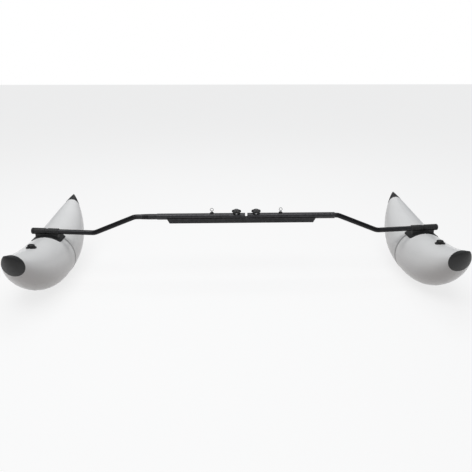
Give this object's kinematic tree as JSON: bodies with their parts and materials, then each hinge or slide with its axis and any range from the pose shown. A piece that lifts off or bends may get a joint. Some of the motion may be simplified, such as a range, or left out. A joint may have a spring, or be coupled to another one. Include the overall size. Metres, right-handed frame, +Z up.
{
  "type": "kayak outrigger",
  "caption": "Crossbar with a slotted deck rail, telescoping bent arms locked by ring pins, and an inflated banana-shaped float hung under each end",
  "frame": {"origin": "on the floor, midway between the two floats, under the receivers' axis", "axes": "+X along the crossbar, +Y towards the boat's stern, +Z up"},
  "size_m": [2.2056, 0.8868, 0.3859],
  "materials": {
    "tube_black": "satin",
    "rail_black": "matte",
    "plastic_black": "matte",
    "patch_black": "matte",
    "float_white": "gloss",
    "seam_white": "gloss",
    "steel": "brushed",
    "rubber_black": "matte"
  },
  "bodies": {
    "crossbar": {"deck_rail": "rail_black", "left_rail_plug": "plastic_black", "right_rail_plug": "plastic_black"},
    "left_receiver": {"left_receiver_tube": "tube_black", "left_saddle_washer": "steel", "left_t_nut": "steel", "left_plunger_housing": "plastic_black", "left_plunger_spring": "steel"},
    "left_knob": {"left_star_knob": "plastic_black", "left_clamp_bolt": "steel"},
    "left_pin": {"left_locking_pin": "steel"},
    "left_ring": {"left_pull_ring": "steel"},
    "left_glide": {"left_glide_ring": "plastic_black"},
    "left_arm": {"left_slide_tube": "tube_black", "left_glide_plug": "plastic_black", "left_arm_tube": "tube_black", "left_arm_end_cap": "rubber_black"},
    "left_float": {"left_float_skin": "float_white", "left_girth_seam": "seam_white", "left_nose_patch": "patch_black", "left_tail_patch": "patch_black", "left_saddle_patch": "patch_black", "left_sleeve_foot": "patch_black", "left_arm_sleeve": "patch_black", "left_valve_base": "plastic_black", "left_valve_grid": "plastic_black"},
    "left_valve_cap": {"left_valve_cap": "plastic_black"},
    "left_diaphragm": {"left_valve_diaphragm": "rubber_black"},
    "right_receiver": {"right_receiver_tube": "tube_black", "right_saddle_washer": "steel", "right_t_nut": "steel", "right_plunger_housing": "plastic_black", "right_plunger_spring": "steel"},
    "right_knob": {"right_star_knob": "plastic_black", "right_clamp_bolt": "steel"},
    "right_pin": {"right_locking_pin": "steel"},
    "right_ring": {"right_pull_ring": "steel"},
    "right_glide": {"right_glide_ring": "plastic_black"},
    "right_arm": {"right_slide_tube": "tube_black", "right_glide_plug": "plastic_black", "right_arm_tube": "tube_black", "right_arm_end_cap": "rubber_black"},
    "right_float": {"right_float_skin": "float_white", "right_girth_seam": "seam_white", "right_nose_patch": "patch_black", "right_tail_patch": "patch_black", "right_saddle_patch": "patch_black", "right_sleeve_foot": "patch_black", "right_arm_sleeve": "patch_black", "right_valve_base": "plastic_black", "right_valve_grid": "plastic_black"},
    "right_valve_cap": {"right_valve_cap": "plastic_black"},
    "right_diaphragm": {"right_valve_diaphragm": "rubber_black"}
  },
  "joints": [
    {"name": "left_receiver_slide", "type": "slide", "parent": "crossbar", "child": "left_receiver", "axis": [-1, 0, 0], "range_m": [-0.005, 0.06]},
    {"name": "left_knob_turn", "type": "hinge", "parent": "left_receiver", "child": "left_knob", "pos_m": [-0.002, 0, 0.34224], "axis": [0, 0, 1], "continuous": true},
    {"name": "left_pin_pull", "type": "slide", "parent": "left_receiver", "child": "left_pin", "axis": [0, 0, 1], "range_m": [-0.003, 0], "deforming": ["left_plunger_spring"]},
    {"name": "left_ring_swing", "type": "hinge", "parent": "left_pin", "child": "left_ring", "pos_m": [-0.127, 0, 0.36906], "axis": [1, 0, 0], "range_deg": [-80, 80]},
    {"name": "left_arm_slide", "type": "slide", "parent": "left_receiver", "child": "left_glide", "axis": [-1, 0, 0], "range_m": [-0.096, 0]},
    {"name": "left_arm_turn", "type": "hinge", "parent": "left_glide", "child": "left_arm", "pos_m": [-0.115, 0, 0.34224], "axis": [1, 0, 0], "range_deg": [-90, 90]},
    {"name": "left_float_turn", "type": "hinge", "parent": "left_arm", "child": "left_float", "pos_m": [-0.97124, 0, 0.26844], "axis": [0.9989, 0, -0.0466], "continuous": true},
    {"name": "left_valve_cap_lift", "type": "slide", "parent": "left_float", "child": "left_valve_cap", "axis": [0.046, 0.1628, 0.9856], "range_m": [0, 0.03]},
    {"name": "left_diaphragm_push", "type": "slide", "parent": "left_float", "child": "left_diaphragm", "axis": [0.046, 0.1628, 0.9856], "range_m": [-0.0025, 0], "stiffness_N_per_m": 60},
    {"name": "right_receiver_slide", "type": "slide", "parent": "crossbar", "child": "right_receiver", "axis": [1, 0, 0], "range_m": [-0.005, 0.06]},
    {"name": "right_knob_turn", "type": "hinge", "parent": "right_receiver", "child": "right_knob", "pos_m": [0.098, 0, 0.34224], "axis": [0, 0, 1], "continuous": true},
    {"name": "right_pin_pull", "type": "slide", "parent": "right_receiver", "child": "right_pin", "axis": [0, 0, 1], "range_m": [-0.003, 0], "deforming": ["right_plunger_spring"]},
    {"name": "right_ring_swing", "type": "hinge", "parent": "right_pin", "child": "right_ring", "pos_m": [0.223, 0, 0.36906], "axis": [1, 0, 0], "range_deg": [-80, 80]},
    {"name": "right_arm_slide", "type": "slide", "parent": "right_receiver", "child": "right_glide", "axis": [1, 0, 0], "range_m": [0, 0.096]},
    {"name": "right_arm_turn", "type": "hinge", "parent": "right_glide", "child": "right_arm", "pos_m": [0.115, 0, 0.34224], "axis": [1, 0, 0], "range_deg": [-90, 90]},
    {"name": "right_float_turn", "type": "hinge", "parent": "right_arm", "child": "right_float", "pos_m": [0.97124, 0, 0.26844], "axis": [0.9989, 0, 0.0466], "continuous": true},
    {"name": "right_valve_cap_lift", "type": "slide", "parent": "right_float", "child": "right_valve_cap", "axis": [-0.046, 0.1628, 0.9856], "range_m": [0, 0.03]},
    {"name": "right_diaphragm_push", "type": "slide", "parent": "right_float", "child": "right_diaphragm", "axis": [-0.046, 0.1628, 0.9856], "range_m": [-0.0025, 0], "stiffness_N_per_m": 60}
  ]
}
